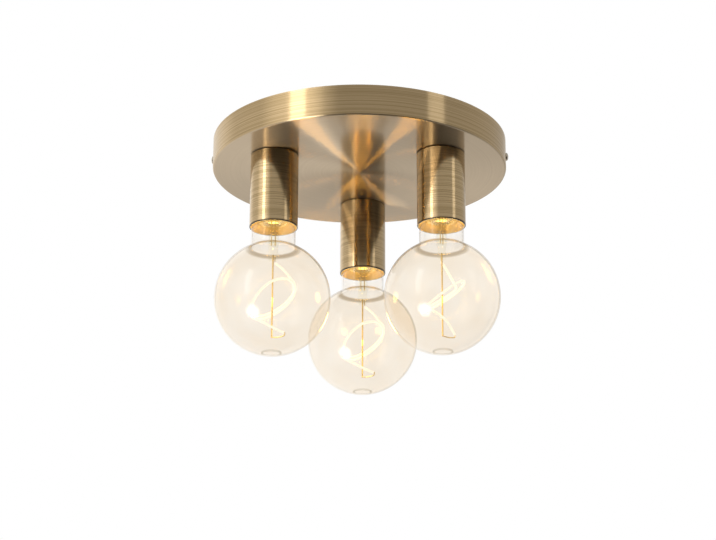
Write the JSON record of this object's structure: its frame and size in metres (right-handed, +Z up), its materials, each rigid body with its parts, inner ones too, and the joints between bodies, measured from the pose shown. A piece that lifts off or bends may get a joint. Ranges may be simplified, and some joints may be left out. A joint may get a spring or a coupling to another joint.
{
  "type": "semi flush ceiling light",
  "caption": "Round brushed brass canopy on a ceiling bracket, with short lamp tubes below it and globe filament bulbs that screw in.",
  "frame": {"origin": "centre of the ceiling face, where the canopy and its bracket meet the ceiling", "axes": "+Z up into the ceiling; one light stands at +Y from the centre and the other two follow a third of a turn apart; the two side screws lie on the X axis"},
  "size_m": [0.2544, 0.2525, 0.1988],
  "materials": {
    "canopy_brass": "brushed antique brass",
    "tube_brass": "brushed antique brass",
    "screw_brass": "satin",
    "plain_brass": "bright",
    "zinc_steel": "zinc plated",
    "tinned_copper": "tinned",
    "nickel_shell": "nickel plated",
    "nickel_cap": "nickel plated",
    "white_nylon": "matte",
    "white_porcelain": "glazed",
    "live_insulation": "soft gloss",
    "neutral_insulation": "soft gloss",
    "earth_insulation": "soft gloss, yellow and green",
    "amber_glass": "clear, amber tint",
    "clear_glass": "clear",
    "black_glass_bead": "glossy",
    "glowing_filament": "glowing",
    "support_wire": "bright wire",
    "circuit_board": "matte"
  },
  "bodies": {
    "fixture": {"canopy_pan": "canopy_brass", "ceiling_bracket": "zinc_steel", "terminal_block": "white_nylon", "terminal_barrels": "plain_brass", "terminal_screws": "zinc_steel", "block_screw": "zinc_steel", "earth_stud": "plain_brass", "earth_ring": "tinned_copper", "earth_nut": "zinc_steel", "earth_lead": "earth_insulation", "live_leads": "live_insulation", "neutral_leads": "neutral_insulation", "nipples": "zinc_steel", "nipple_nuts": "zinc_steel", "nipple_washers": "zinc_steel", "holder_terminals": "plain_brass", "lamp_tube_1": "tube_brass", "holder_base_1": "white_porcelain", "holder_sleeve_1": "white_porcelain", "screw_shell_1": "nickel_shell", "centre_contact_1": "plain_brass", "lamp_tube_2": "tube_brass", "holder_base_2": "white_porcelain", "holder_sleeve_2": "white_porcelain", "screw_shell_2": "nickel_shell", "centre_contact_2": "plain_brass", "lamp_tube_3": "tube_brass", "holder_base_3": "white_porcelain", "holder_sleeve_3": "white_porcelain", "screw_shell_3": "nickel_shell", "centre_contact_3": "plain_brass"},
    "bulb_1_travel": {"bulb_tip_1": "tinned_copper"},
    "bulb_1": {"bulb_globe_1": "amber_glass", "bulb_cap_1": "nickel_cap", "bulb_insulator_1": "black_glass_bead", "bulb_stem_1": "clear_glass", "bulb_filament_1": "glowing_filament", "bulb_supports_1": "support_wire", "bulb_driver_1": "circuit_board"},
    "bulb_2_travel": {"bulb_tip_2": "tinned_copper"},
    "bulb_2": {"bulb_globe_2": "amber_glass", "bulb_cap_2": "nickel_cap", "bulb_insulator_2": "black_glass_bead", "bulb_stem_2": "clear_glass", "bulb_filament_2": "glowing_filament", "bulb_supports_2": "support_wire", "bulb_driver_2": "circuit_board"},
    "bulb_3_travel": {"bulb_tip_3": "tinned_copper"},
    "bulb_3": {"bulb_globe_3": "amber_glass", "bulb_cap_3": "nickel_cap", "bulb_insulator_3": "black_glass_bead", "bulb_stem_3": "clear_glass", "bulb_filament_3": "glowing_filament", "bulb_supports_3": "support_wire", "bulb_driver_3": "circuit_board"},
    "side_screw_1_travel": {"side_washer_1": "screw_brass"},
    "side_screw_1_body": {"side_screw_1": "screw_brass"},
    "side_screw_2_travel": {"side_washer_2": "screw_brass"},
    "side_screw_2_body": {"side_screw_2": "screw_brass"}
  },
  "joints": [
    {"name": "bulb_1_slide", "type": "slide", "parent": "fixture", "child": "bulb_1_travel", "axis": [0, 0, -1], "range_m": [0, 0.01453]},
    {"name": "bulb_1_turn", "type": "hinge", "parent": "bulb_1_travel", "child": "bulb_1", "pos_m": [0, 0.08, -0.0851], "axis": [0, 0, -1], "range_deg": [0, 1440]},
    {"name": "bulb_2_slide", "type": "slide", "parent": "fixture", "child": "bulb_2_travel", "axis": [0, 0, -1], "range_m": [0, 0.01453]},
    {"name": "bulb_2_turn", "type": "hinge", "parent": "bulb_2_travel", "child": "bulb_2", "pos_m": [-0.06928, -0.04, -0.0851], "axis": [0, 0, -1], "range_deg": [0, 1440]},
    {"name": "bulb_3_slide", "type": "slide", "parent": "fixture", "child": "bulb_3_travel", "axis": [0, 0, -1], "range_m": [0, 0.01453]},
    {"name": "bulb_3_turn", "type": "hinge", "parent": "bulb_3_travel", "child": "bulb_3", "pos_m": [0.06928, -0.04, -0.0851], "axis": [0, 0, -1], "range_deg": [0, 1440]},
    {"name": "side_screw_1_slide", "type": "slide", "parent": "fixture", "child": "side_screw_1_travel", "axis": [1, 0, 0], "range_m": [0, 0.007]},
    {"name": "side_screw_1_turn", "type": "hinge", "parent": "side_screw_1_travel", "child": "side_screw_1_body", "pos_m": [0.125, 0, -0.013], "axis": [1, 0, 0], "range_deg": [0, 3602]},
    {"name": "side_screw_2_slide", "type": "slide", "parent": "fixture", "child": "side_screw_2_travel", "axis": [-1, 0, 0], "range_m": [0, 0.007]},
    {"name": "side_screw_2_turn", "type": "hinge", "parent": "side_screw_2_travel", "child": "side_screw_2_body", "pos_m": [-0.125, 0, -0.013], "axis": [-1, 0, 0], "range_deg": [0, 3602]}
  ],
  "couplings": [
    {"joint": "bulb_1_slide", "follows": "bulb_1_turn", "m_per_rad": 0.0005775},
    {"joint": "bulb_2_slide", "follows": "bulb_2_turn", "m_per_rad": 0.0005775},
    {"joint": "bulb_3_slide", "follows": "bulb_3_turn", "m_per_rad": 0.0005775},
    {"joint": "side_screw_1_turn", "follows": "side_screw_1_slide", "rad_per_m": 8976},
    {"joint": "side_screw_2_turn", "follows": "side_screw_2_slide", "rad_per_m": 8976}
  ]
}
